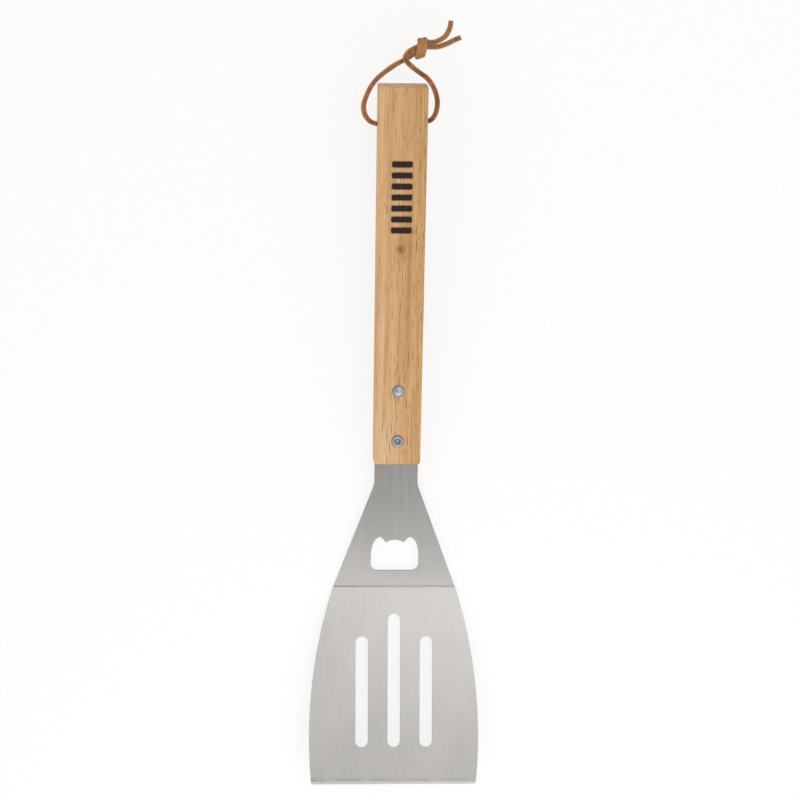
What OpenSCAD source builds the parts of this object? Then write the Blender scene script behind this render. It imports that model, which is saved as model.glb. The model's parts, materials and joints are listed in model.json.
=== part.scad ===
// Grill spatula: a slotted steel blade with a bottle opener in its neck, a wooden handle and a hanging cord.
// It lies as it rests on a table: +Z is up, +Y runs towards the handle and X across. The origin is the middle
// of the crease between blade and neck, on the underside, which is the line that the spatula rests on.

/* [Steel sheet] */
// Thickness of the sheet
sheet_t = 1.5; // [1.2:0.1:2]
// Angle of the bend between blade and neck
bend_deg = 15; // [8:1:25]
// Inside radius of the bend
bend_r = 1.5; // [1:0.5:4]

/* [Blade] */
// Length from the crease to the front edge
blade_len = 123; // [110:1:140]
// Width at the widest place
blade_w = 105; // [96:0.1:115]
// Distance of the widest place from the crease
blade_widest = 94; // [80:0.1:100]
// Radius of the two curved sides
side_r = 303; // [240:1:400]
// Width of the band ground along the front edge
edge_band = 2; // [1:0.5:4]
// Thickness left at the front edge
edge_t = 0.5; // [0.3:0.1:1]
// Width of a slot
slot_w = 7.8; // [5:0.1:9]
// Distance between neighbouring slots
slot_pitch = 19.9; // [16:0.1:24]
// Distance from the crease to the front end of every slot
slot_front = 100.1; // [90:0.1:104]
// Distance from the crease to the rear end of the middle slot
middle_slot_rear = 17.4; // [12:0.1:30]
// Distance from the crease to the rear end of a side slot
side_slot_rear = 31.4; // [20:0.1:45]

/* [Neck] */
// Length from the crease to the handle
neck_len = 80.6; // [76:0.1:90]
// Width of the straight strip that enters the handle
neck_w = 26.6; // [22:0.1:27.5]
// Distance from the crease to where the neck stops widening
flare_end = 65.7; // [60:0.1:70]

/* [Bottle opener] */
// Width of the opening, which takes a 28.6 mm crown cap
opener_w = 29.5; // [29:0.1:31]
// Distance from the crease to the opening's front side
opener_front = 10.3; // [8:0.1:12]
// Distance from the crease to the top of the opening's two ears
opener_rear = 31.9; // [30:0.1:34]
// Radius of the opening's front corners
opener_corner_r = 4.2; // [3:0.1:6]
// Distance between the tips of the two teeth
tooth_gap = 10.4; // [9:0.1:12]
// How far a tooth stands below the ears
tooth_h = 3.3; // [2:0.1:4]
// How far the edge between the teeth stands above their tips
tooth_rise = 1.6; // [0.8:0.1:2]

/* [Handle] */
// Length of the handle
handle_len = 230.5; // [210:0.1:260]
// Width at the front end
handle_front_w = 28.4; // [28:0.1:34]
// Width at the rear end
handle_rear_w = 29.6; // [28:0.1:34]
// Thickness of the handle
handle_t = 18; // [15:0.5:22]
// Radius of the rounded long edges
handle_edge_r = 2.3; // [1.5:0.1:3]
// Width of the chamfer round the front end
front_chamfer = 1.6; // [0.5:0.1:1.9]
// Width of the chamfer round the rear end
rear_chamfer = 0.9; // [0.5:0.1:1.9]
// Depth of the sawn kerf, at its middle
kerf_depth = 62; // [58:1:70]
// Radius of the saw that cut the kerf
saw_r = 70; // [60:5:100]
// Distance from the tang's end to the end of the kerf
tang_gap = 3; // [2:0.5:10]

/* [Rivets] */
// Distance from the handle's front end to the front rivet
rivet_inset = 15; // [12:0.1:20]
// Distance between the rivets
rivet_pitch = 31.5; // [25:0.1:35]
// Diameter of the shank
rivet_d = 4; // [3:0.5:5]
// Diameter of the head and of the clinched end
rivet_head_d = 7.2; // [6.5:0.1:8]
// Height of the domed head
rivet_head_h = 1.3; // [0.8:0.1:2]

/* [Hanging cord] */
// Width and thickness of the square lace
cord_w = 3; // [2:0.1:3.2]
// Diameter of the hole across the handle
cord_hole_d = 5; // [5:0.1:6]
// Distance from the hole to the handle's rear end
cord_hole_inset = 22.1; // [18:0.1:26]
// Diameter of the knot
knot_d = 7.6; // [6:0.1:9]
// Length of the knot
knot_len = 13; // [10:0.5:16]

/* [Hidden] */
$fn = 64;

// Gap around the tang in its kerf and around a rivet in its holes
fit_gap = 0.05;
// How far a cutting shape runs past what it cuts
past = 1;

crease_w = blade_w - 2 * side_r + 2 * sqrt(side_r * side_r - blade_widest * blade_widest);
// Distance from the crease at which the bend's round part ends
bend_reach = (bend_r + sheet_t) * tan(bend_deg / 2);

// The handle is centred on the sheet, so its underside lies this far below the neck's
handle_drop = (handle_t - sheet_t) / 2;
handle_rear = neck_len + handle_len;
tang_end = neck_len + kerf_depth - tang_gap;
cord_hole_y = handle_rear - cord_hole_inset;

// Slope of the neck when the crease and the handle's lower front edge touch the table
neck_slope = atan(handle_drop / (neck_len + front_chamfer));

// Points of an arc, from angle a to angle b about [x, y]
function arc(x, y, r, a, b, steps = 8) =
    [for (i = [0:steps]) [x + r * cos(a + (b - a) * i / steps), y + r * sin(a + (b - a) * i / steps)]];

// The same points on the other side of the Y axis, in the order that goes on round the outline
function mirrored(points) = [for (i = [len(points) - 1:-1:0]) [-points[i][0], points[i][1]]];

// Puts what is drawn on the neck's plane into its place at rest
module on_neck() {
    rotate([neck_slope, 0, 0]) children();
}

// Puts what is drawn on the blade's plane, which continues towards -Y, into its place at rest
module on_blade() {
    rotate([neck_slope - bend_deg, 0, 0]) children();
}

// A point of the blade's side view, drawn as if the sheet were flat, as seen on the neck's plane
function tilted(p) = [p[0] * cos(bend_deg) + p[1] * sin(bend_deg), p[1] * cos(bend_deg) - p[0] * sin(bend_deg)];

// The sheet with its bend and its ground front edge, wider than the finished piece
module bent_strip(width) {
    centre_z = bend_r + sheet_t;
    side_view = concat(
        [[tang_end, 0], [tang_end, sheet_t]],
        arc(bend_reach, centre_z, bend_r, -90, -90 - bend_deg),
        [tilted([edge_band - blade_len, sheet_t]), tilted([-blade_len, edge_t]), tilted([-blade_len, 0])],
        arc(bend_reach, centre_z, bend_r + sheet_t, -90 - bend_deg, -90)
    );
    on_neck() translate([-width / 2, 0, 0]) rotate([90, 0, 90]) linear_extrude(width) polygon(side_view);
}

module blade_outline() {
    centre_x = side_r - blade_w / 2;
    intersection() {
        translate([centre_x, -blade_widest]) circle(r = side_r, $fn = 720);
        translate([-centre_x, -blade_widest]) circle(r = side_r, $fn = 720);
        translate([-blade_w, -blade_len - past]) square([2 * blade_w, blade_len + past]);
    }
}

module neck_outline() {
    right = [[crease_w / 2, 0], [neck_w / 2, flare_end], [neck_w / 2, tang_end]];
    polygon(concat(right, mirrored(right)));
}

// Opening for a crown cap: two ears, with two teeth and a shallow curve between them
module opener_outline() {
    half = opener_w / 2;
    // Each side is straight, then an arc that leans towards the ear
    cheek_r = 22;
    cheek_turn = 26;
    ear_r = 2.2;
    ear_x = half - 5.45;
    ear_y = opener_rear - ear_r;
    tooth_x = tooth_gap / 2;
    tip_y = opener_rear - tooth_h;
    // The curve between the teeth is the arc through both tips that rises tooth_rise at its middle
    lip_r = (tooth_x * tooth_x + tooth_rise * tooth_rise) / (2 * tooth_rise);
    lip_half = asin(tooth_x / lip_r);
    right = concat(
        arc(half - opener_corner_r, opener_front + opener_corner_r, opener_corner_r, -90, 0),
        arc(half - cheek_r, ear_y - cheek_r * sin(cheek_turn), cheek_r, 0, cheek_turn),
        arc(ear_x, ear_y, ear_r, 50, 125),
        [[tooth_x, tip_y]],
        arc(0, tip_y + tooth_rise - lip_r, lip_r, 90 - lip_half, 90, 4)
    );
    polygon(concat(right, mirrored(right)));
}

// A slot with round ends, cut through the blade's plane
module slot(x, rear) {
    r = slot_w / 2;
    translate([x, -slot_front + r, -past]) cylinder(r = r, h = sheet_t + 2 * past);
    translate([x, -rear - r, -past]) cylinder(r = r, h = sheet_t + 2 * past);
    translate([x - r, -slot_front + r, -past]) cube([slot_w, slot_front - rear - slot_w, sheet_t + 2 * past]);
}

module rivet_holes(d, z, h) {
    for (y = [0, rivet_pitch])
        translate([0, neck_len + rivet_inset + y, z]) cylinder(d = d, h = h);
}

module blade() {
    reach = 60;
    color("silver") difference() {
        intersection() {
            bent_strip(blade_w + 2 * past);
            union() {
                on_blade() translate([0, 0, -reach / 2]) linear_extrude(reach) blade_outline();
                on_neck() translate([0, 0, -reach / 2]) linear_extrude(reach) neck_outline();
            }
        }
        on_blade() {
            slot(0, middle_slot_rear);
            for (side = [-1, 1])
                slot(side * slot_pitch, side_slot_rear);
        }
        on_neck() {
            translate([0, 0, -past]) linear_extrude(sheet_t + 2 * past) opener_outline();
            rivet_holes(rivet_d + 2 * fit_gap, -past, sheet_t + 2 * past);
        }
    }
}

// End of one long edge, rounded in flat steps of 45 degrees and tapered over the chamfer at the bar's end. It
// runs along Y from the chamfer's start and reaches exactly handle_edge_r each way.
module corner(chamfer) {
    r = handle_edge_r / cos(22.5);
    rotate([-90, 22.5, 0]) cylinder(r1 = r, r2 = r - chamfer / cos(22.5), h = chamfer, $fn = 8);
}

// Bar with rounded edges and chamfered ends, a little wider at its rear end
module handle_bar() {
    r = handle_edge_r;
    hull() for (side = [-1, 1], z = [r - handle_drop, handle_t - handle_drop - r]) {
        translate([side * (handle_front_w / 2 - r), neck_len + front_chamfer, z])
            mirror([0, 1, 0]) corner(front_chamfer);
        translate([side * (handle_rear_w / 2 - r), handle_rear - rear_chamfer, z]) corner(rear_chamfer);
    }
}

module handle() {
    color("burlywood") on_neck() difference() {
        difference() {
            handle_bar();
            translate([0, neck_len + kerf_depth - saw_r, -fit_gap])
                cylinder(r = saw_r, h = sheet_t + 2 * fit_gap);
        }
        rivet_holes(rivet_d + 2 * fit_gap, -handle_drop - past, handle_t + 2 * past);
        translate([-handle_rear_w, cord_hole_y, sheet_t / 2]) rotate([0, 90, 0])
            cylinder(d = cord_hole_d, h = 2 * handle_rear_w);
    }
}

// A rivet with its head at the bottom, from z = 0 up to the handle's thickness, and its end rolled over
module rivet() {
    head_r = rivet_head_d / 2;
    ring_r = 0.9;
    ring_h = 0.35;
    dome_r = (head_r * head_r + rivet_head_h * rivet_head_h) / (2 * rivet_head_h);
    color("lightslategray") rotate_extrude() {
        intersection() {
            translate([0, dome_r - rivet_head_h]) circle(r = dome_r, $fn = 180);
            translate([0, -rivet_head_h]) square([head_r, rivet_head_h]);
        }
        square([rivet_d / 2, handle_t + ring_h]);
        intersection() {
            translate([head_r - ring_r, handle_t + ring_h]) circle(r = ring_r);
            translate([0, handle_t]) square([head_r, 2 * ring_r]);
        }
    }
}

module front_rivet() {
    on_neck() translate([0, neck_len + rivet_inset, -handle_drop]) rivet();
}

module rear_rivet() {
    on_neck() translate([0, neck_len + rivet_inset + rivet_pitch, handle_t - handle_drop])
        mirror([0, 0, 1]) rivet();
}

// Stations [x, y, heading] along a lace that starts at the first station. Each step is [length] for a straight
// run, or [radius, angle] for a bend, where a positive angle turns left.
function stations(at, path, i = 0) =
    i == len(path) ? [at] :
    len(path[i]) == 1 ? concat([at], stations(run(at, path[i][0]), path, i + 1)) :
    concat([at], [for (k = [1:5]) bend(at, path[i][0], path[i][1] * k / 6)],
        stations(bend(at, path[i][0], path[i][1]), path, i + 1));
function run(at, length) = [at[0] + length * cos(at[2]), at[1] + length * sin(at[2]), at[2]];
function bend(at, r, a) = let (s = sign(a), c = [at[0] - s * r * sin(at[2]), at[1] + s * r * cos(at[2])])
    [c[0] + s * r * sin(at[2] + a), c[1] - s * r * cos(at[2] + a), at[2] + a];
function beside(at, d) = [at[0] - d * sin(at[2]), at[1] + d * cos(at[2])];

// Flat outline of a lace along its stations
module lace(start, path) {
    line = stations(start, path);
    half = cord_w / 2;
    translate([0, 0, -half]) linear_extrude(cord_w) polygon(concat(
        [for (p = line) beside(p, half)],
        [for (i = [len(line) - 1:-1:0]) beside(line[i], -half)]
    ));
}

// The lace lies in the middle plane of the handle, with the hole's axis along X
module hanging_cord() {
    side = handle_rear_w / 2;
    knot = [10.9, 45];
    knot_turn = 22;
    color("sienna") on_neck() translate([0, cord_hole_y, sheet_t / 2]) {
        // Through the hole and round the left side to the crossing and the knot
        lace([-side, 0, 0], [[2 * side]]);
        lace([-side, 0, 180], [[1.5], [6.5, -85], [26.7, -61], [27]]);
        // Round the right side to the crossing
        lace([side, 0, 0], [[1.3], [5.2, 86], [1.2], [27, 57], [13.3]]);
        // Tails
        lace([knot[0], knot[1], 10], [[10], [12, 70], [5]]);
        lace([knot[0], knot[1], -10], [[9], [20, 40], [5]]);
        translate(knot) rotate([90, 0, knot_turn]) rotate_extrude() intersection() {
            union() {
                for (end = [-1, 1])
                    translate([0, end * (knot_len - knot_d) / 2]) circle(d = knot_d);
                square([knot_d, knot_len - knot_d], center = true);
            }
            translate([0, -knot_len]) square(2 * knot_len);
        }
    }
}

blade();
handle();
front_rivet();
rear_rivet();
hanging_cord();
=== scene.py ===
import json
import math
import random

import bmesh
import bpy
from mathutils import Matrix, Vector, noise


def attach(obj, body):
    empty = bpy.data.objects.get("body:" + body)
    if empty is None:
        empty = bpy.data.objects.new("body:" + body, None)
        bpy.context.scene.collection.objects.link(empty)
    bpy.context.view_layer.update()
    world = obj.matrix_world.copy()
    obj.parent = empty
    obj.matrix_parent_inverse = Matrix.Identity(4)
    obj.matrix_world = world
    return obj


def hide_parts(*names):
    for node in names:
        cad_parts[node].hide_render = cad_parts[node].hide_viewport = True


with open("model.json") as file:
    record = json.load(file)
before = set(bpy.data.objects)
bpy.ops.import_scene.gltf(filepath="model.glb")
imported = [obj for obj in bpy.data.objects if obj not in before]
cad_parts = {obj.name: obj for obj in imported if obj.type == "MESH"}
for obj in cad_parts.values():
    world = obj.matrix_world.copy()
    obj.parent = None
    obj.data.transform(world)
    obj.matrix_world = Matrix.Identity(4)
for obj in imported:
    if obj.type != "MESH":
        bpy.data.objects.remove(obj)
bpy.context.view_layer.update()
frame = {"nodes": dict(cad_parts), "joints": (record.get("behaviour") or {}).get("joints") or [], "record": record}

# The shapes below are drawn in millimetres on one of two planes, the neck's and the blade's. Both have
# X across, Y towards the handle and Z out of the sheet, and their origin at the crease on its underside.
MM = 0.001
record = frame["record"]
mounts = {mount["name"]: mount for mount in record["mounts"]}


def plane_of(normal):
    """The rotation that takes a level plane to the one with this normal."""
    return Matrix.Rotation(math.atan2(-normal[1], normal[2]), 4, "X")


NECK = plane_of(mounts["hanging_loop"]["axis"])
BLADE = plane_of([-n for n in mounts["blade_underside"]["axis"]])
BEND = math.radians(15)


def span(node, plane):
    """Lowest and highest corner of a CAD node on that plane, in millimetres."""
    to_plane = plane.inverted()
    points = [to_plane @ v.co / MM for v in frame["nodes"][node].data.vertices]
    return [[pick(p[i] for p in points) for i in range(3)] for pick in (min, max)]


def station(node):
    """Where along the handle the middle of a CAD node is."""
    lo, hi = span(node, NECK)
    return (lo[1] + hi[1]) / 2


# Sizes that the frame gives
blade_lo, blade_hi = span("blade", BLADE)
BLADE_HALF = blade_hi[0]
BLADE_LEN = -blade_lo[1]
TANG_END = span("blade", NECK)[1][1]
handle_lo, handle_hi = span("handle", NECK)
HANDLE_FRONT, HANDLE_REAR = handle_lo[1], handle_hi[1]
HANDLE_BOTTOM, HANDLE_TOP = handle_lo[2], handle_hi[2]
REAR_HALF = handle_hi[0]
RIVETS = {node: station(node) for node in ("front_rivet", "rear_rivet")}
CORD_HOLE = NECK.inverted() @ Vector(frame["joints"][0]["pos_m"]) / MM

# Sheet: thickness, inside radius of the bend, and the ground band along the front edge
SHEET_T = 1.5
BEND_R = 1.5
EDGE_BAND = 2.0
EDGE_T = 0.5
CREASE_REACH = (BEND_R + SHEET_T) * math.tan(BEND / 2)

# Blade and neck: how far ahead of the crease the blade is widest, the radius of its sides, half of the
# neck's width, where the neck starts to flare, and the bevel on all rims
WIDEST = 94.0
SIDE_R = 303.0
NECK_HALF = 13.3
FLARE_END = 65.7
RIM_BEVEL = 0.14

# Handle: radius of the long edges, and half of the width at the front
EDGE_R = 2.3
FRONT_HALF = 14.2

# Lace: width, thickness, half the distance of two strands side by side, the length between two of its
# cross-sections, and the number of its loose fibres
LACE_W = 2.9
LACE_T = 2.2
PAIR_HALF = 1.4
LACE_STEP = 0.45
FIBRES = 1500


# ---------------------------------------------------------------- outlines and meshes

# Signs of the corners of a rectangle, in the order of the quarter turns of its rounded corners
QUARTERS = ((1, 1), (-1, 1), (-1, -1), (1, -1))


def arc(x, y, r, a, b, steps):
    """Points of an arc about x, y, from angle a to angle b in degrees."""
    angles = [math.radians(a + (b - a) * i / steps) for i in range(steps + 1)]
    return [(x + r * math.cos(t), y + r * math.sin(t)) for t in angles]


def mirrored(points):
    """The same points on the other side of the Y axis, in the order that goes on round the outline."""
    return [(-x, y) for x, y in reversed(points)]


def turned(profile, place, segments):
    """A solid turned from (radius, height) points about the local Z axis, closed at both ends."""
    bm = bmesh.new()
    rings = []
    for r, z in profile:
        if r == 0:
            rings.append([bm.verts.new(place @ Vector((0, 0, z)))])
            continue
        angles = [2 * math.pi * i / segments for i in range(segments)]
        points = [Vector((r * math.cos(t), r * math.sin(t), z)) for t in angles]
        rings.append([bm.verts.new(place @ p) for p in points])
    for a, b in zip(rings, rings[1:]):
        for i in range(segments):
            j = (i + 1) % segments
            corners = [a[i % len(a)], a[j % len(a)], b[j % len(b)], b[i % len(b)]]
            bm.faces.new(list(dict.fromkeys(corners)))
    for ring, flip in ((rings[0], True), (rings[-1], False)):
        if len(ring) > 1:
            bm.faces.new(ring[::-1] if flip else ring)
    return bm


def tube_faces(rings):
    """Corners of the faces of a tube that is closed at both ends, from its rings of vertices."""
    faces = []
    for a, b in zip(rings, rings[1:]):
        n = len(a)
        faces += [(a[i], a[(i + 1) % n], b[(i + 1) % n], b[i]) for i in range(n)]
    return faces + [tuple(reversed(rings[0])), tuple(rings[-1])]


def finish_piece(name, bm, place, body, node, material, smooth_angle, flat_above=1e9):
    """Makes a bmesh drawn in millimetres a piece that rides on a body and stands for a CAD node.

    Edges sharper than smooth_angle degrees stay sharp, and faces larger than flat_above mm2 stay flat.
    """
    bmesh.ops.recalc_face_normals(bm, faces=bm.faces)
    is_smooth = [face.calc_area() < flat_above for face in bm.faces]
    bm.transform(place @ Matrix.Scale(MM, 4))
    mesh = bpy.data.meshes.new(name)
    bm.to_mesh(mesh)
    bm.free()
    mesh.set_sharp_from_angle(angle=math.radians(smooth_angle))
    mesh.polygons.foreach_set("use_smooth", is_smooth)
    piece = bpy.data.objects.new(name, mesh)
    bpy.context.collection.objects.link(piece)
    mesh.materials.append(material)
    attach(piece, body)
    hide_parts(node)


def cut(bm, cutters):
    """bm with each cutter's solid taken out of it."""
    meshes = []
    for source in [bm] + cutters:
        bmesh.ops.recalc_face_normals(source, faces=source.faces)
        mesh = bpy.data.meshes.new("cutting")
        source.to_mesh(mesh)
        source.free()
        meshes.append(mesh)
    objects = [bpy.data.objects.new("cutting", mesh) for mesh in meshes]
    for item in objects:
        bpy.context.collection.objects.link(item)
    for cutter in objects[1:]:
        step = objects[0].modifiers.new("cut", "BOOLEAN")
        step.operation = "DIFFERENCE"
        step.solver = "EXACT"
        step.object = cutter
    result = bmesh.new()
    result.from_object(objects[0], bpy.context.evaluated_depsgraph_get())
    for item, mesh in zip(objects, meshes):
        bpy.data.objects.remove(item)
        bpy.data.meshes.remove(mesh)
    return result


# ---------------------------------------------------------------- shaders

def srgb(code):
    """Linear colour of a hex code."""
    channels = [int(code[i:i + 2], 16) / 255 for i in (0, 2, 4)]
    return [c / 12.92 if c <= 0.04045 else ((c + 0.055) / 1.055) ** 2.4 for c in channels] + [1]


HUE = {name: srgb(code) for name, code in {
    "steel": "d6d3cf",
    "wood_left_deep": "cd9f70",
    "wood_left_pale": "dcb68a",
    "wood_right_deep": "b58752",
    "wood_right_pale": "cfa26d",
    "wood_front": "e8cca6",
    "streak_deep": "a97c49",
    "streak_pale": "e2c193",
    "fibre": "ac804d",
    "pore": "734820",
    "knot_halo": "a87848",
    "knot": "84542a",
    "growth_ring": "94673a",
    "scorch": "8a5526",
    "char_deep": "170b0a",
    "char_pale": "38201a",
    "rivet_pale": "d3d8df",
    "rivet_deep": "a3a9b1",
    # Dirt and painted shade on the rivets' rims and in their recesses
    "grime_and_shade": "5a4a40",
    "flesh_deep": "a87b52",
    "flesh_pale": "c09064",
    "skin_deep": "623a2b",
    "skin_pale": "9c5a31",
    "skin_dusty": "86604f",
    "nap_hollow": "573322",
    "nap_sheen": "c9a27c",
    "paper_deep": "7e7d7c",
    "paper_pale": "828180",
    "paper_glow": "ffffff",
}.items()}


class Shader:
    """A material under construction. Most methods add nodes and return the last one's output."""

    def __init__(self, name, **surface):
        self.material = bpy.data.materials.new(name)
        self.material.use_nodes = True
        self.nodes = self.material.node_tree.nodes
        self.surface = self.nodes["Principled BSDF"]
        self.set(**surface)

    def feed(self, socket, value):
        if isinstance(value, bpy.types.NodeSocket):
            self.material.node_tree.links.new(value, socket)
        else:
            socket.default_value = value

    def set(self, **inputs):
        for key, value in inputs.items():
            self.feed(self.surface.inputs[key.replace("_", " ")], value)

    def add(self, kind, inputs, output=0, **settings):
        node = self.nodes.new("ShaderNode" + kind)
        for key, value in settings.items():
            setattr(node, key, value)
        for key, value in inputs.items():
            self.feed(node.inputs[key], value)
        return node.outputs[output]

    def position(self, plane=NECK):
        """Where a point is on that plane, in millimetres."""
        place = self.add("TexCoord", {}, "Object")
        turn = -plane.to_euler().x
        place = self.add("VectorRotate", {"Vector": place, "Angle": turn}, rotation_type="X_AXIS")
        return self.vector("SCALE", place, Scale=1 / MM)

    def vector(self, operation, a, b=None, output=0, **inputs):
        inputs = {0: a, **({} if b is None else {1: b}), **inputs}
        return self.add("VectorMath", inputs, output, operation=operation)

    def part(self, vector, axis):
        """One component of a vector, by the number of its axis."""
        return self.add("SeparateXYZ", {0: vector}, axis)

    def math(self, operation, a, b=0.0, clamp=False):
        return self.add("Math", {0: a, 1: b}, operation=operation, use_clamp=clamp)

    def plus(self, a, b, clamp=False):
        return self.math("ADD", a, b, clamp)

    def minus(self, a, b):
        return self.math("SUBTRACT", a, b)

    def times(self, a, b, clamp=False):
        return self.math("MULTIPLY", a, b, clamp)

    def bell(self, distance, sharpness):
        """1 at no distance, and falling off to 0 along a bell curve."""
        return self.math("EXPONENT", self.times(self.math("POWER", distance, 2.0), -sharpness))

    def noise(self, place, scale, detail=2.0, roughness=0.5, output="Fac"):
        """Noise with so many features to a millimetre along each axis."""
        place = self.vector("MULTIPLY", place, scale)
        inputs = {"Vector": place, "Scale": 1.0, "Detail": detail, "Roughness": roughness}
        return self.add("TexNoise", inputs, output)

    def remap(self, value, lo, hi, out_lo=0.0, out_hi=1.0):
        """Takes the range from lo to hi to the range from out_lo to out_hi, and stays within that."""
        inputs = {"Value": value, "From Min": lo, "From Max": hi, "To Min": out_lo, "To Max": out_hi}
        return self.add("MapRange", inputs, clamp=True)

    def mix(self, factor, a, b, blend="MIX"):
        inputs = {"Factor": factor, 6: a, 7: b}
        return self.add("Mix", inputs, 2, data_type="RGBA", blend_type=blend)

    def grey(self, value):
        return self.add("CombineColor", {0: value, 1: value, 2: value})

    def bump(self, height, depth_mm, strength=1.0):
        return self.add("Bump", {"Height": height, "Distance": depth_mm * MM, "Strength": strength})


def steel_shader():
    """Stainless sheet with fine lengthwise brushing, a ground band along the front edge made lighter by a painted
    highlight, and painted shade where the sheet bends.
    """
    s = Shader("brushed_stainless", Metallic=1.0)
    place = s.position()
    fine = s.noise(place, (9, 0.05, 9), detail=3)
    broad = s.noise(place, (0.5, 0.02, 0.5), detail=2)
    clouds = s.noise(place, (0.03, 0.02, 0.03), detail=2)
    tone = s.plus(s.remap(fine, 0.3, 0.7, -0.05, 0.05), s.remap(broad, 0.3, 0.7, -0.02, 0.02))
    tone = s.plus(tone, s.remap(clouds, 0.3, 0.7, 0.94, 1.03))
    # Along the front edge the sheet is ground thinner; a painted highlight makes that band a little lighter, and
    # dark smudges fade out behind it
    on_blade = s.position(BLADE)
    behind = s.minus(s.part(on_blade, 1), EDGE_BAND - BLADE_LEN)
    ragged = s.noise(on_blade, (0.22, 0.35, 0.35), detail=3)
    fading = s.math("EXPONENT", s.times(behind, -0.8))
    fading = s.times(fading, s.remap(behind, -0.3, 0.1))
    smudge = s.times(fading, s.remap(ragged, 0.35, 0.62, 0.06, 0.3))
    corner = s.vector("DISTANCE", on_blade, (-BLADE_HALF, -BLADE_LEN, 0), output="Value")
    at_corner = s.times(s.remap(corner, 4.0, 9.0, 0.12, 0.0), fading)
    smudge = s.plus(smudge, at_corner)
    # Painted highlight: the ground band is a little lighter
    band_highlight = s.remap(behind, -0.2, 0.0, 1.03, 1.0)
    tone = s.times(s.times(tone, band_highlight), s.minus(1.0, smudge))
    # Painted shade darkens the inside of the bend, along the line where the sheet bends
    off_crease = s.math("ABSOLUTE", s.part(place, 1))
    crease_shade = s.times(s.remap(off_crease, 0.35, 1.1, 1.0, 0.0), s.remap(broad, 0.3, 0.7, 0.18, 0.3))
    tone = s.times(tone, s.minus(1.0, crease_shade))
    # Cut edges are duller than the faces
    normal = s.add("NewGeometry", {}, "Normal")
    level = s.math("ABSOLUTE", s.vector("DOT_PRODUCT", normal, NECK.col[2].xyz, output="Value"))
    tone = s.times(tone, s.remap(level, 0.3, 0.65, 0.45, 1.0))
    s.set(Base_Color=s.mix(1.0, HUE["steel"], s.grey(tone), "MULTIPLY"))
    s.set(Roughness=s.remap(fine, 0.25, 0.75, 0.29, 0.4))
    s.set(Normal=s.bump(s.plus(fine, broad), 0.006, 0.6))
    return s.material


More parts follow.
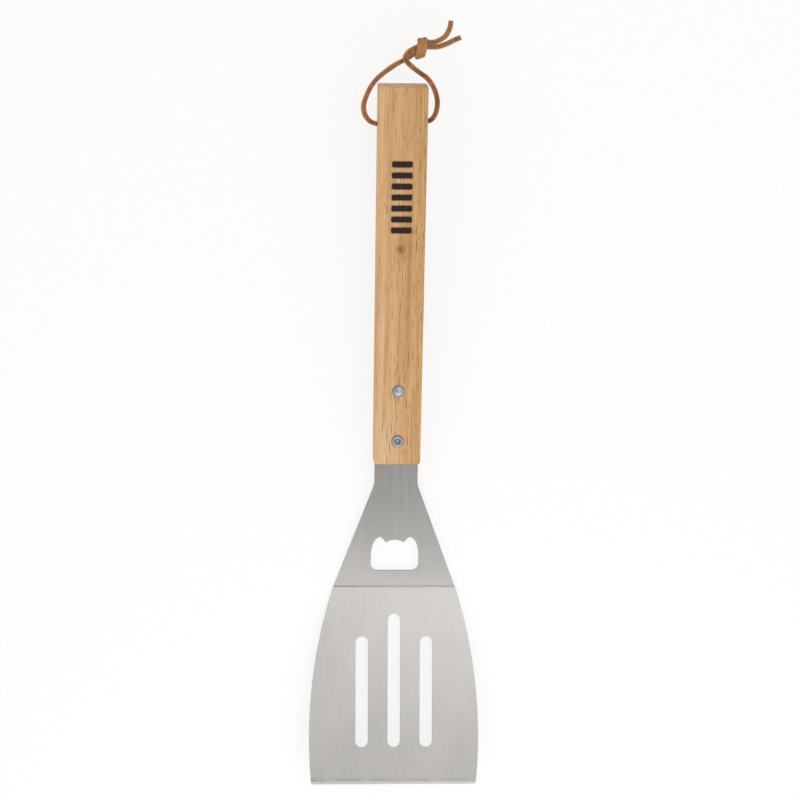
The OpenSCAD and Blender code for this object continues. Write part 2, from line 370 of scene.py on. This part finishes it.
def wood_shader():
    """Light hardwood with long grain, dark pores, one small knot and a burnt mark."""
    s = Shader("oiled_hardwood", Roughness=0.52, Specular_IOR_Level=0.35)
    place = s.position()
    x, y, z = (s.part(place, axis) for axis in range(3))
    # Grain wanders slowly, and it parts round the knot
    wander = s.noise(place, (0.02, 0.007, 0.03), output="Color")
    wander = s.vector("SUBTRACT", wander, (0.5, 0.5, 0.5))
    grain = s.vector("ADD", place, s.vector("MULTIPLY", wander, (9, 0, 6)))
    knot_from_rear = 96
    knot = (0.2, HANDLE_REAR - knot_from_rear, HANDLE_TOP)
    away = s.vector("MULTIPLY", s.vector("SUBTRACT", place, knot), (1, 0.45, 0.5))
    ragged = s.noise(place, (0.5, 0.25, 0.5), detail=3)
    distance = s.vector("LENGTH", away, output="Value")
    distance = s.plus(distance, s.remap(ragged, 0.3, 0.7, -1.0, 1.6))
    near = s.bell(distance, 0.22)
    push = s.vector("SCALE", s.vector("NORMALIZE", away), Scale=s.times(near, 1.6))
    grain = s.vector("SUBTRACT", grain, push)

    bands = s.noise(grain, (0.22, 0.004, 0.22), detail=3, roughness=0.55)
    fibres = s.noise(grain, (4.5, 0.05, 4.5), detail=3, roughness=0.6)
    streaks = s.noise(grain, (1.1, 0.022, 1.1), detail=4, roughness=0.65)
    # One side is paler than the other, most of all near half-way along
    half_way = (HANDLE_FRONT + HANDLE_REAR) / 2 - 5
    off_half_way = s.math("ABSOLUTE", s.minus(y, half_way))
    tilt = s.times(x, s.remap(off_half_way, 25.0, 75.0, 0.055, 0.033))
    side = s.plus(tilt, 0.5, clamp=True)
    left = s.mix(s.remap(bands, 0.35, 0.65), HUE["wood_left_deep"], HUE["wood_left_pale"])
    right = s.mix(s.remap(bands, 0.35, 0.65), HUE["wood_right_deep"], HUE["wood_right_pale"])
    wood = s.mix(side, left, right)
    front = s.remap(y, HANDLE_FRONT + 15, HANDLE_FRONT + 60, 0.5, 0.0)
    front = s.times(front, s.minus(1.0, side))
    wood = s.mix(front, wood, HUE["wood_front"])
    wood = s.mix(s.remap(streaks, 0.5, 0.7, 0.0, 0.65), wood, HUE["streak_deep"])
    wood = s.mix(s.remap(streaks, 0.47, 0.28, 0.0, 0.6), wood, HUE["streak_pale"])
    wood = s.mix(s.remap(fibres, 0.4, 0.7, 0.0, 0.45), wood, HUE["fibre"])

    # Pores: thin dark dashes, closer together in some bands than in others
    coarse = pore_layer(s, grain, (1.05, 0.06, 1.05), 0.45)
    small = pore_layer(s, grain, (1.9, 0.12, 1.9), 0.4)
    pores = s.math("MAXIMUM", coarse, small)
    crowd = s.noise(place, (0.12, 0.015, 0.12), detail=2)
    crowd = s.plus(s.remap(crowd, 0.35, 0.6, 0.05, 0.7), s.times(side, 0.65))
    pores = s.times(pores, crowd, clamp=True)
    wood = s.mix(pores, wood, HUE["pore"])
    # The knot, with a darker halo
    halo = s.bell(distance, 0.035)
    wood = s.mix(s.times(halo, 0.3), wood, HUE["knot_halo"])
    wood = s.mix(s.times(near, 0.85), wood, HUE["knot"])

    # The sawn ends are a little darker and show the growth rings as arcs
    facing = s.math("ABSOLUTE", s.part(s.add("NewGeometry", {}, "Normal"), 1))
    across = s.add("CombineXYZ", {0: x, 1: z})
    pith = (9, -32, 0)
    from_pith = s.vector("DISTANCE", across, pith, output="Value")
    uneven = s.remap(s.noise(place, (0.15, 0.15, 0.15)), 0.3, 0.7, -0.8, 0.8)
    ring = s.math("SINE", s.times(s.plus(from_pith, uneven), 2.3))
    ring = s.times(s.remap(ring, -0.2, 0.9, 0.0, 0.4), s.remap(facing, 0.7, 0.95))
    wood = s.mix(ring, wood, HUE["growth_ring"])

    # The burnt mark, with a scorched rim
    inside = bars_mark(s, x, y, z, s.noise(place, (2.5, 1.2, 2.5), detail=3))
    scorch = s.times(s.remap(inside, -0.9, 0.1, 0.0, 1.0), 0.3)
    wood = s.mix(scorch, wood, HUE["scorch"])
    burn = s.remap(inside, 0.0, 0.4)
    char = s.mix(s.remap(fibres, 0.35, 0.7), HUE["char_deep"], HUE["char_pale"])
    wood = s.mix(burn, wood, char)
    s.set(Base_Color=wood, Roughness=s.remap(fibres, 0.3, 0.7, 0.5, 0.62))
    relief = s.minus(s.times(fibres, 0.35), s.plus(pores, burn))
    s.set(Normal=s.bump(relief, 0.05, 0.7))
    return s.material


def pore_layer(s, grain, scale, share):
    """Dashes in that share of Voronoi cells, which are scale to a millimetre along each axis."""
    cells = s.nodes.new("ShaderNodeTexVoronoi")
    cells.inputs["Scale"].default_value = 1.0
    s.feed(cells.inputs["Vector"], s.vector("MULTIPLY", grain, scale))
    dash = s.remap(cells.outputs["Distance"], 0.14, 0.28, 1.0, 0.0)
    chosen = s.add("SeparateColor", {0: cells.outputs["Color"]}, 0)
    return s.times(dash, s.remap(chosen, 1 - share - 0.1, 1 - share + 0.1))


def bars_mark(s, x, y, z, ragged):
    """How deep in a generic mark a point is, in mm: a short row of plain bars on the upper face."""
    bar_w, bar_pitch, bars, reach, corner = 4.1, 6.6, 7, 6.4, 1.2
    from_rear, depth = 42.5, 0.5
    start = HANDLE_REAR - from_rear - bar_pitch * bars
    along = s.math("DIVIDE", s.minus(y, start), bar_pitch)
    bar = s.math("MINIMUM", s.math("MAXIMUM", s.math("FLOOR", along), 0.0), float(bars - 1))
    from_bar = s.times(s.minus(s.minus(along, bar), 0.5), bar_pitch)
    over_x = s.math("MAXIMUM", s.minus(s.math("ABSOLUTE", x), reach - corner), 0.0)
    over_y = s.math("MAXIMUM", s.minus(s.math("ABSOLUTE", from_bar), bar_w / 2 - corner), 0.0)
    away = s.vector("LENGTH", s.add("CombineXYZ", {0: over_x, 1: over_y}), output="Value")
    inside = s.plus(s.minus(corner, away), s.remap(ragged, 0.3, 0.7, -0.25, 0.25))
    # Below the upper face it ends at once
    too_deep = s.math("MAXIMUM", s.minus(HANDLE_TOP - depth, z), 0.0)
    return s.minus(inside, s.times(too_deep, 10.0))


def rivet_shader():
    """Satin metal with fine scratches; dirt and painted shade darken the rim where it meets the wood and the
    rolled end's recess.
    """
    s = Shader("rivet_metal", Metallic=1.0)
    place = s.position()
    scratches = s.noise(place, (2, 12, 2), detail=4)
    patches = s.noise(place, (0.7, 0.7, 0.7), detail=3)
    base = s.mix(s.remap(patches, 0.4, 0.7, 0.0, 0.5), HUE["rivet_pale"], HUE["rivet_deep"])
    # Painted shade, with some dirt: the rim where the rivet meets the wood and the rolled end's recess are darker
    grime_and_shade = s.add("Attribute", {}, "Fac", attribute_name="grime_and_shade")
    grime_and_shade = s.times(grime_and_shade, s.remap(patches, 0.3, 0.6, 0.6, 1.0))
    base = s.mix(grime_and_shade, base, HUE["grime_and_shade"])
    s.set(Base_Color=base, Roughness=s.remap(scratches, 0.3, 0.7, 0.36, 0.5))
    s.set(Normal=s.bump(scratches, 0.01, 0.5))
    return s.material


def suede_shader():
    """Brown suede: a redder grain side, paler cut edges and a nap. The knot is rubbed pale."""
    s = Shader("brown_suede", Roughness=0.95, Specular_IOR_Level=0.15,
               Sheen_Weight=0.35, Sheen_Roughness=0.6)
    place = s.position()
    grain = s.add("Attribute", {}, "Fac", attribute_name="grain_side")
    worn = s.noise(place, (0.5, 0.5, 0.5), detail=3, roughness=0.6)
    grain = s.times(grain, s.remap(worn, 0.38, 0.48, 0.45, 1.0))
    knot = (10.7, CORD_HOLE.y + 43.5, 3.5)
    off_knot = s.vector("DISTANCE", place, knot, output="Value")
    rubbed = s.times(s.remap(off_knot, 5.0, 7.5, 0.9, 0.0), s.remap(worn, 0.3, 0.5, 1.0, 0.6))
    grain = s.times(grain, s.minus(1.0, rubbed))
    blotch = s.noise(place, (0.09, 0.09, 0.09), detail=3, roughness=0.6)
    left = s.remap(s.part(place, 0), 2.0, -16.0, 0.0, 0.06)
    blotch = s.plus(blotch, left)
    nap = s.noise(place, (4, 4, 4), detail=4, roughness=0.7)
    flesh = s.mix(s.remap(blotch, 0.4, 0.6), HUE["flesh_deep"], HUE["flesh_pale"])
    skin = s.mix(s.remap(blotch, 0.4, 0.6), HUE["skin_deep"], HUE["skin_pale"])
    # A shift, so that the dusty patches don't follow the other noises
    shifted = s.vector("ADD", place, (40, 0, 0))
    dusty = s.noise(shifted, (0.13, 0.13, 0.13), detail=2)
    skin = s.mix(s.remap(dusty, 0.47, 0.6, 0.0, 0.75), skin, HUE["skin_dusty"])
    base = s.mix(grain, flesh, skin)
    base = s.mix(s.remap(nap, 0.4, 0.7, 0.0, 0.45), base, HUE["nap_hollow"])
    s.set(Base_Color=base, Sheen_Tint=HUE["nap_sheen"])
    s.set(Normal=s.bump(nap, 0.2, 0.9))
    return s.material


# ---------------------------------------------------------------- blade, neck and tang

def blade_half_width(y):
    """Half of the blade's width at y, where its side is one arc."""
    return BLADE_HALF - SIDE_R + math.sqrt(SIDE_R ** 2 - (y + WIDEST) ** 2)


def sheet_outline():
    """Right half of the sheet from the tang's end to the middle of the front edge, then the left half."""
    fillet, tang_corner = 10.0, 2
    flare = math.atan2(blade_half_width(0) - NECK_HALF, FLARE_END)
    turn = fillet * math.tan(flare / 2)
    corner = 1.3
    tang = arc(NECK_HALF - tang_corner, TANG_END - tang_corner, tang_corner, 90, 0, 4)
    neck = arc(NECK_HALF + fillet, FLARE_END + turn, fillet, 180, 180 + math.degrees(flare), 6)
    side_steps = 44
    front = corner - BLADE_LEN
    along = [front * i / side_steps for i in range(side_steps + 1)]
    side = [(blade_half_width(y), y) for y in along]
    front_corner = arc(side[-1][0] - corner, front, corner, 0, -90, 5)[1:]
    right = tang + neck + side + front_corner
    return right + mirrored(right)


def slot_outline(x, rear, front=100.1, width=7.8):
    """A slot with round ends, between two distances ahead of the crease."""
    r = width / 2
    return arc(x, -rear - r, r, 180, 0, 16) + arc(x, -front + r, r, 0, -180, 16)


def opener_outline():
    """Opening for a crown cap: two ears, and two teeth with a shallow curve between them."""
    half, front, ears, corner = 14.75, 10.3, 31.9, 4.2
    cheek_r, cheek_turn, ear_r, ear_in = 22.0, 26.0, 2.2, 5.45
    ear_y = ears - ear_r
    cheek_y = ear_y - cheek_r * math.sin(math.radians(cheek_turn))
    tooth_x, tip_y, tip_r, rise = 5.2, 28.7, 0.4, 1.5
    lip_r = (tooth_x ** 2 + rise ** 2) / (2 * rise)
    lip_half = math.degrees(math.asin(tooth_x / lip_r))
    right = arc(half - corner, front + corner, corner, -90, 0, 8)
    right += arc(half - cheek_r, cheek_y, cheek_r, 0, cheek_turn, 8)
    right += arc(half - ear_in, ear_y, ear_r, 40, 125, 8)
    right += arc(tooth_x + 0.3, tip_y + tip_r, tip_r, -30, -110, 4)
    right += arc(0, tip_y + rise - lip_r, lip_r, 90 - 0.9 * lip_half, 90, 6)
    return right + mirrored(right)[1:]


def fold(x, y, z):
    """Where a point of the flat sheet, z above its underside, is once the sheet is bent."""
    if y >= CREASE_REACH:
        return Vector((x, y, z))
    if y <= -CREASE_REACH:
        return Matrix.Rotation(-BEND, 3, "X") @ Vector((x, y, z))
    turn = (CREASE_REACH - y) / (2 * CREASE_REACH) * BEND
    r = BEND_R + SHEET_T - z
    return Vector((x, CREASE_REACH - r * math.sin(turn), BEND_R + SHEET_T - r * math.cos(turn)))


def build_blade(material):
    bm = bmesh.new()
    slot_pitch, middle_slot, side_slot = 19.9, 17.4, 31.4
    outlines = [sheet_outline(), opener_outline(), slot_outline(0, middle_slot)]
    outlines += [slot_outline(side * slot_pitch, side_slot) for side in (-1, 1)]
    for outline in outlines:
        ring = [bm.verts.new((x, y, 0)) for x, y in outline]
        for a, b in zip(ring, ring[1:] + ring[:1]):
            bm.edges.new((a, b))
    bmesh.ops.remove_doubles(bm, verts=bm.verts, dist=1e-4)
    bmesh.ops.triangle_fill(bm, use_beauty=True, edges=bm.edges)
    bmesh.ops.dissolve_limit(bm, angle_limit=0.01, verts=[], edges=bm.edges[:])
    # Cuts across the sheet, where it bends and where the ground band starts
    bend_steps = 6
    cuts = [CREASE_REACH * (2 * i / bend_steps - 1) for i in range(bend_steps + 1)]
    for y in cuts + [EDGE_BAND - BLADE_LEN]:
        everything = bm.verts[:] + bm.edges[:] + bm.faces[:]
        bmesh.ops.bisect_plane(bm, geom=everything, dist=1e-5,
                               plane_co=(0, y, 0), plane_no=(0, 1, 0))
    upper = bmesh.ops.extrude_face_region(bm, geom=bm.faces[:])["geom"]
    for v in [item for item in upper if isinstance(item, bmesh.types.BMVert)]:
        in_band = max(0, EDGE_BAND - BLADE_LEN - v.co.y) / EDGE_BAND
        v.co.z = SHEET_T + (EDGE_T - SHEET_T) * in_band
    for v in bm.verts:
        v.co = fold(*v.co)
    bmesh.ops.recalc_face_normals(bm, faces=bm.faces)
    rims = [edge for edge in bm.edges if edge.calc_face_angle(0) > math.radians(40)]
    bmesh.ops.bevel(bm, geom=rims, offset=RIM_BEVEL, segments=2, profile=0.5, affect="EDGES",
                    clamp_overlap=False)
    finish_piece("blade_sheet", bm, NECK, "spatula", "blade", material, 50,
                 flat_above=30)


# ---------------------------------------------------------------- handle

def handle_ring(y, inset, r):
    """One cross-section of the bar: a rectangle with rounded corners, as points."""
    share = (y - HANDLE_FRONT) / (HANDLE_REAR - HANDLE_FRONT)
    half_w = FRONT_HALF + (REAR_HALF - FRONT_HALF) * share - inset
    half_t = (HANDLE_TOP - HANDLE_BOTTOM) / 2 - inset
    points = []
    for turn, (sx, sz) in enumerate(QUARTERS):
        centre = (sx * (half_w - r), SHEET_T / 2 + sz * (half_t - r))
        points += arc(*centre, r, 90 * turn, 90 * turn + 90, 8)
    return [(x, y, z) for x, z in points]


def handle_solid():
    """The bar before it is sawn and drilled, with both ends rounded off a little."""
    steps, end_steps = 40, 6
    front_r, rear_r = 1.7, 0.9
    start, end = HANDLE_FRONT + front_r, HANDLE_REAR - rear_r
    turns = [math.radians(90 * i / end_steps) for i in range(end_steps + 1)]
    front = [(start - front_r * math.cos(t), front_r * (1 - math.sin(t))) for t in turns]
    middle = [(start + (end - start) * i / steps, 0) for i in range(1, steps)]
    rear = [(end + rear_r * math.cos(t), rear_r * (1 - math.sin(t))) for t in reversed(turns)]
    bm = bmesh.new()
    rings = []
    for y, inset in front + middle + rear:
        # Sanding leaves the long edges a little uneven
        wear = 0.35 * noise.noise(Vector((y * 0.03, 2.0, 0)))
        wear += 0.15 * noise.noise(Vector((y * 0.11, 5.0, 0)))
        r = EDGE_R * (1 + wear * (inset == 0)) - inset
        rings.append([bm.verts.new(p) for p in handle_ring(y, inset, r)])
    for face in tube_faces(rings):
        bm.faces.new(face)
    return bm


def build_handle(material):
    kerf_depth, saw_r, gap = 62.0, 70.0, 0.05
    saw_centre = Matrix.Translation((0, HANDLE_FRONT + kerf_depth - saw_r, 0))
    cutters = [turned([(saw_r, -gap), (saw_r, SHEET_T + gap)], saw_centre, 256)]

    # The cord hole flares out at both mouths. The bar is a little narrower there than at its rear end.
    bore_r, flare, narrower = 2.5, 0.5, 0.12
    half = REAR_HALF - narrower
    right = [(bore_r, half - flare), (bore_r + 2 * flare, half + 2 * flare)]
    profile = [(r, -x) for r, x in reversed(right)] + right
    across = Matrix.Translation(CORD_HOLE) @ Matrix.Rotation(math.pi / 2, 4, "Y")
    cutters.append(turned(profile, across, 48))

    # Each rivet's bore has a shallow dent at both ends, where the head was pressed in
    shank_r, dent_r, dent = 2.05, 3.75, 0.18
    low, high = HANDLE_BOTTOM, HANDLE_TOP
    profile = [(dent_r, low - 1), (dent_r, low + dent), (shank_r, low + dent)]
    profile += [(shank_r, high - dent), (dent_r, high - dent), (dent_r, high + 1)]
    for y in RIVETS.values():
        cutters.append(turned(profile, Matrix.Translation((0, y, 0)), 48))
    bar = cut(handle_solid(), cutters)
    finish_piece("handle_bar", bar, NECK, "spatula", "handle", material, 40,
                 flat_above=60)


# ---------------------------------------------------------------- rivets

def build_rivet(node, head_up, material, seed):
    """A rivet sunk a little into the wood at both ends: a low dome at one, a rolled end at the other."""
    thickness = HANDLE_TOP - HANDLE_BOTTOM
    head_r, head_h, sink, shank_r = 3.6, 1.3, 0.15, 2.0
    rise = head_h - 0.25
    dome_r = (head_r ** 2 + rise ** 2) / (2 * rise)
    dome_reach = math.degrees(math.asin((head_r - 0.08) / dome_r))
    dome = [(r, -(z - dome_r + head_h)) for r, z in arc(0, 0, dome_r, 90, 90 - dome_reach, 12)]
    profile = [(0, dome[0][1])] + dome[1:] + [(head_r, -0.12), (head_r, sink), (shank_r, sink)]
    # The other end is rolled to a ring, round a small recess with a pip in its middle
    ring_r, ring_z = 0.92, thickness + 0.22
    ring = arc(head_r - ring_r, ring_z, ring_r, -25, 190, 18)
    profile += [(shank_r, thickness - sink), (head_r - 0.15, thickness - sink)] + ring
    recess = ring_z - 0.25
    profile += [(1.7, recess - 0.15), (1.5, recess - 0.4), (1.2, recess - 0.42), (0.95, recess - 0.1)]
    profile += [(0.6, recess + 0.05), (0, recess + 0.08)]
    flip = Matrix.Rotation(math.pi, 4, "Y") if head_up else Matrix()
    base = HANDLE_TOP if head_up else HANDLE_BOTTOM
    place = Matrix.Translation((0, RIVETS[node], base)) @ flip
    bm = turned(profile, place, 72)
    grime_and_shade = bm.verts.layers.float.new("grime_and_shade")
    # Rolling leaves the edge slightly uneven
    for v in bm.verts:
        radial = Vector((v.co.x, v.co.y - RIVETS[node], 0))
        if radial.length > shank_r + 0.1:
            wobble = noise.noise(Vector((radial.x, radial.y, seed)) * 0.55)
            v.co += radial.normalized() * wobble * 0.09
            v.co.z += noise.noise(Vector((radial.x, seed, radial.y)) * 0.4) * 0.05
        # Painted shade, with some dirt, at the rim against the wood and in the rolled end's recess
        in_recess = (v.co.z > SHEET_T / 2) != head_up and 1.1 < radial.length < 1.8
        v[grime_and_shade] = 0.4 if in_recess else min(1, max(0, (radial.length - 3.1) / 0.5))
    finish_piece(node + "_turned", bm, NECK, "spatula", node, material, 50)


# ---------------------------------------------------------------- hanging cord

# The lace is drawn round the hole's middle: across, towards the handle's end, and up out of the handle.
LEFT_LEG = [(0.2, 36.6, -1.3), (-1.2, 35.8, -1.2), (-4.9, 33.8, -0.7), (-10.2, 30.1, -0.2),
            (-15.0, 26.0, 0), (-18.8, 21.2, 0), (-21.5, 15.4, 0), (-23.0, 10.2, 0), (-22.5, 5.2, 0),
            (-20.1, 1.3, 0), (-16.6, -0.7, 0)]
THROUGH = [(-12, -0.9, 0), (0, -0.1, 0.1), (12, 0.6, 0)]
RIGHT_LEG = [(15.9, 1.1, 0), (18.2, 2.8, 0), (20.0, 6.6, 0), (20.6, 11.8, 0), (19.8, 16.4, 0.1),
             (17.8, 21.5, 0.3), (14.2, 26.3, 0.7), (9.3, 29.9, 1.1), (5.2, 33.0, 1.5), (2.1, 36.0, 1.7),
             (1.0, 38.4, 1.4)]
# Middle of the two strands through the knot, with the direction from one to the other. They pass under
# the wrap and over the top to the back, come round the bottom to the front as the wrap, go over the top
# again and leave at the right.
KNOT = [((3.6, 40.4, 0.2), (-0.58, 0.81, 0.2)), ((7.2, 42.6, -0.3), (-0.55, 0.83, 0)),
        ((9.9, 43.9, -0.4), (-0.65, 0.76, 0)), ((11.3, 45.4, -0.3), (-0.9, 0.4, 0)),
        ((11.5, 47.0, -0.9), (-1, 0, 0)), ((11.3, 47.2, -2.7), (-1, 0, 0)),
        ((10.9, 45.2, -3.9), (-1, 0, 0)), ((10.1, 41.8, -3.8), (-1, 0.1, 0)),
        ((9.8, 39.5, -2.3), (-1, -0.2, 0)), ((9.7, 38.9, 0.2), (-1, -0.35, 0)),
        ((10.0, 40.6, 2.4), (-1, -0.25, 0)), ((10.6, 43.8, 3.3), (-1, 0, 0)),
        ((10.8, 47.0, 2.6), (-1, 0, 0)), ((10.8, 48.8, 0.6), (-1, 0, 0)),
        ((11.0, 48.3, -1.6), (-0.9, -0.4, 0)), ((12.4, 46.6, -1.9), (-0.4, -0.9, 0)),
        ((14.7, 46.0, -0.9), (0, -1, 0)), ((17.4, 46.0, 0.0), (0, -1, 0))]
UPPER_TAIL = [(20.9, 48.7, 0.3), (24.4, 51.2, 0.6), (26.8, 55.7, 0.9), (27.5, 60.2, 1.0)]
LOWER_TAIL = [(20.6, 44.9, 0.0), (25.7, 46.7, -0.2), (30.4, 49.1, -0.2), (33.6, 50.4, 0.0)]


def lace_stations():
    """(place, side direction or None) along the whole lace, from one tail's end to the other's."""
    stations = [(Vector(p), None) for p in reversed(UPPER_TAIL)]
    for place, apart in reversed(KNOT):
        apart = Vector(apart).normalized()
        stations.append((Vector(place) - PAIR_HALF * apart, apart))
    stations += [(Vector(p), None) for p in LEFT_LEG + THROUGH + RIGHT_LEG]
    for place, apart in KNOT:
        apart = Vector(apart).normalized()
        stations.append((Vector(place) + PAIR_HALF * apart, -apart))
    return stations + [(Vector(p), None) for p in LOWER_TAIL]


def lace_sides(stations):
    """A side direction for every station: the given one, or the right of the way ahead in the plane."""
    sides = []
    for i, (_, side) in enumerate(stations):
        if side is None:
            before = stations[max(i - 1, 0)][0]
            after = stations[min(i + 1, len(stations) - 1)][0]
            side = (after - before).cross(Vector((0, 0, 1))).normalized()
        sides.append(side)
    # From the handle outwards, no station is turned over against the one before it
    middle = len(sides) // 2
    for order in (range(middle, 0, -1), range(middle, len(sides) - 1)):
        for i in order:
            following = i - 1 if order.step < 0 else i + 1
            if sides[i].dot(sides[following]) < 0:
                sides[following] = -sides[following]
    return sides


def spline(points, closeness):
    """Smooth curve through the points, as (place in their list, point) pairs about closeness apart."""
    padded = [2 * points[0] - points[1]] + points + [2 * points[-1] - points[-2]]
    result = []
    for i in range(len(points) - 1):
        a, b, c, d = padded[i:i + 4]
        steps = max(2, round((c - b).length / closeness))
        for k in range(steps):
            t = k / steps
            place = 0.5 * (2 * b + (c - a) * t + (2 * a - 5 * b + 4 * c - d) * t * t
                           + (3 * b - a - 3 * c + d) * t ** 3)
            result.append((i + t, place))
    return result + [(len(points) - 1, points[-1])]


def lace_section(width, thickness):
    """The lace's cross-section: a rounded rectangle, with extra points on its two wide faces."""
    r = 0.3 * thickness
    points = []
    for turn, (sx, sy) in enumerate(QUARTERS):
        centre = (sx * (width / 2 - r), sy * (thickness / 2 - r))
        points += arc(*centre, r, 90 * turn, 90 * turn + 90, 3)
        if turn in (0, 2):
            points += [(sx * width * k, sy * thickness / 2) for k in (0.25, 0, -0.25)]
    return points


def add_fibres(bm, layer, rings):
    """Short loose fibres, as closed slivers that stand out of the lace's surface."""
    nap = random.Random(4)
    half_width, sunk = 0.045, 0.1
    for _ in range(FIBRES):
        ring = nap.choice(rings[2:-2])
        v = nap.choice(ring)
        # None where the lace is in the handle
        if abs(v.co.x) < REAR_HALF + 1.2 and v.co.y < 3 + EDGE_R:
            continue
        centre = sum((p.co for p in ring), Vector()) / len(ring)
        out = (v.co - centre).normalized()
        lean = Vector([nap.uniform(-1, 1) for _ in range(3)])
        tip = v.co + (out + 0.8 * lean).normalized() * nap.uniform(0.35, 0.95)
        across = out.cross(lean).normalized() * half_width
        along = across.cross(out).normalized() * half_width
        root = v.co - out * sunk
        back = root - 0.5 * across
        corners = [root + across, back + 0.87 * along, back - 0.87 * along, tip]
        sliver = [bm.verts.new(c) for c in corners]
        for item in sliver:
            item[layer] = 0.2 * v[layer]
        for face in ((0, 1, 2), (0, 3, 1), (1, 3, 2), (2, 3, 0)):
            bm.faces.new([sliver[k] for k in face])


def build_cord(material):
    stations = lace_stations()
    sides = lace_sides(stations)
    path = spline([place for place, _ in stations], LACE_STEP)
    bm = bmesh.new()
    layer = bm.verts.layers.float.new("grain_side")
    rings = []
    last = len(path) - 1
    for i, (at, place) in enumerate(path):
        ahead = (path[min(i + 1, last)][1] - path[max(i - 1, 0)][1]).normalized()
        whole = min(int(at), len(sides) - 2)
        side = sides[whole].lerp(sides[whole + 1], at - whole)
        twist = 0.35 * noise.noise(Vector((i * 0.02, 1.5, 0)))
        side = (side - side.dot(ahead) * ahead).normalized()
        side.rotate(Matrix.Rotation(twist, 3, ahead))
        up = side.cross(ahead)
        width = LACE_W * (1 + 0.09 * noise.noise(Vector((i * 0.05, 7.5, 0))))
        thickness = LACE_T * (1 + 0.10 * noise.noise(Vector((i * 0.06, 3.5, 0))))
        ring = []
        for k, (x, y) in enumerate(lace_section(width, thickness)):
            rough = 0.13 * noise.noise(Vector((i * 0.5, k * 0.9, 0)))
            v = bm.verts.new(place + (side * x + up * y) * (1 + rough))
            # How much of the grain side shows: none on the cut edges, and a little less underneath
            shown = min(1, max(0, (abs(y) / thickness - 0.25) * 4)) * (1 if y > 0 else 0.85)
            v[layer] = shown * min(1, max(0, 2.3 - 6.2 * abs(x) / width))
            ring.append(v)
        rings.append(ring)
    for face in tube_faces(rings):
        bm.faces.new(face)
    add_fibres(bm, layer, rings)
    place = NECK @ Matrix.Translation(CORD_HOLE * MM)
    finish_piece("suede_cord", bm, place, "cord", "hanging_cord", material, 60)


# ---------------------------------------------------------------- studio

def build_floor():
    bpy.ops.mesh.primitive_plane_add(size=8)
    floor = bpy.context.object
    floor.name = "floor"
    # Its own faint glow keeps shadows light, as on a photographer's light table
    s = Shader("floor_paper", Roughness=0.9, Specular_IOR_Level=0.1, Emission_Strength=0.75)
    grain = s.noise(s.position(), (0.4, 0.4, 0.4), detail=2)
    s.set(Base_Color=s.mix(s.remap(grain, 0.3, 0.7), HUE["paper_deep"], HUE["paper_pale"]))
    s.set(Emission_Color=HUE["paper_glow"])
    floor.data.materials.append(s.material)


def softbox(name, place, size, watts):
    """A rectangular light that points straight down and that the camera doesn't see."""
    light = bpy.data.lights.new(name, "AREA")
    light.shape = "RECTANGLE"
    light.size, light.size_y = size
    light.energy = watts
    lamp = bpy.data.objects.new(name, light)
    lamp.location = place
    lamp.visible_camera = False
    bpy.context.collection.objects.link(lamp)


def build_room():
    """A pale room for matt surfaces. Metal sees a room that is dark overhead."""
    world = bpy.data.worlds.new("studio")
    world.use_nodes = True
    nodes, link = world.node_tree.nodes, world.node_tree.links.new

    def remapped(value, **limits):
        node = nodes.new("ShaderNodeMapRange")
        for key, limit in limits.items():
            node.inputs[key.replace("_", " ")].default_value = limit
        link(value, node.inputs["Value"])
        return node.outputs[0]

    ray = nodes.new("ShaderNodeLightPath")
    room = nodes["Background"]
    room.inputs["Color"].default_value = (1, 1, 1, 1)
    # The camera sees it as white as the floor
    link(remapped(ray.outputs["Is Camera Ray"], To_Min=0.9, To_Max=1.0), room.inputs["Strength"])
    mirrored_room = nodes.new("ShaderNodeBackground")
    direction = nodes.new("ShaderNodeSeparateXYZ")
    link(nodes.new("ShaderNodeNewGeometry").outputs["Incoming"], direction.inputs[0])
    strength = remapped(direction.outputs["Z"], From_Min=-0.95, From_Max=-0.6, To_Min=0.06, To_Max=0.75)
    link(strength, mirrored_room.inputs["Strength"])
    pick_room = nodes.new("ShaderNodeMixShader")
    link(ray.outputs["Is Glossy Ray"], pick_room.inputs[0])
    link(room.outputs[0], pick_room.inputs[1])
    link(mirrored_room.outputs[0], pick_room.inputs[2])
    link(pick_room.outputs[0], nodes["World Output"].inputs["Surface"])
    bpy.context.scene.world = world


def build_camera():
    """Straight above the blade's face, a little to its left, at the far end of a long lens."""
    distance = 1.58
    left, ahead, roll = math.radians(3.33), math.radians(0.38), math.radians(0.15)
    aim = BLADE @ Vector((3.45 * MM, 115.15 * MM, 0))
    camera = bpy.data.cameras.new("camera")
    camera.lens = 114.5
    camera.sensor_width = 36
    holder = bpy.data.objects.new("camera", camera)
    blade = BLADE.to_3x3()
    back = (blade @ Vector((-math.sin(left), -math.sin(ahead), math.cos(left)))).normalized()
    right = (blade @ Vector((0, 1, 0))).cross(back).normalized()
    turn = Matrix((right, back.cross(right), back)).transposed() @ Matrix.Rotation(roll, 3, "Z")
    holder.matrix_world = Matrix.Translation(aim + distance * back) @ turn.to_4x4()
    bpy.context.collection.objects.link(holder)
    bpy.context.scene.camera = holder


build_blade(steel_shader())
build_handle(wood_shader())
rivet_metal = rivet_shader()
build_rivet("front_rivet", False, rivet_metal, seed=3.0)
build_rivet("rear_rivet", True, rivet_metal, seed=8.0)
build_cord(suede_shader())
build_floor()
build_room()
softbox("over_blade", (0.15, 0.2, 1.0), (0.7, 0.5), 1.55)
softbox("over_neck", (0.05, -0.34, 0.4), (0.5, 0.3), 0.71)
build_camera()
bpy.context.scene.view_settings.view_transform = "Standard"
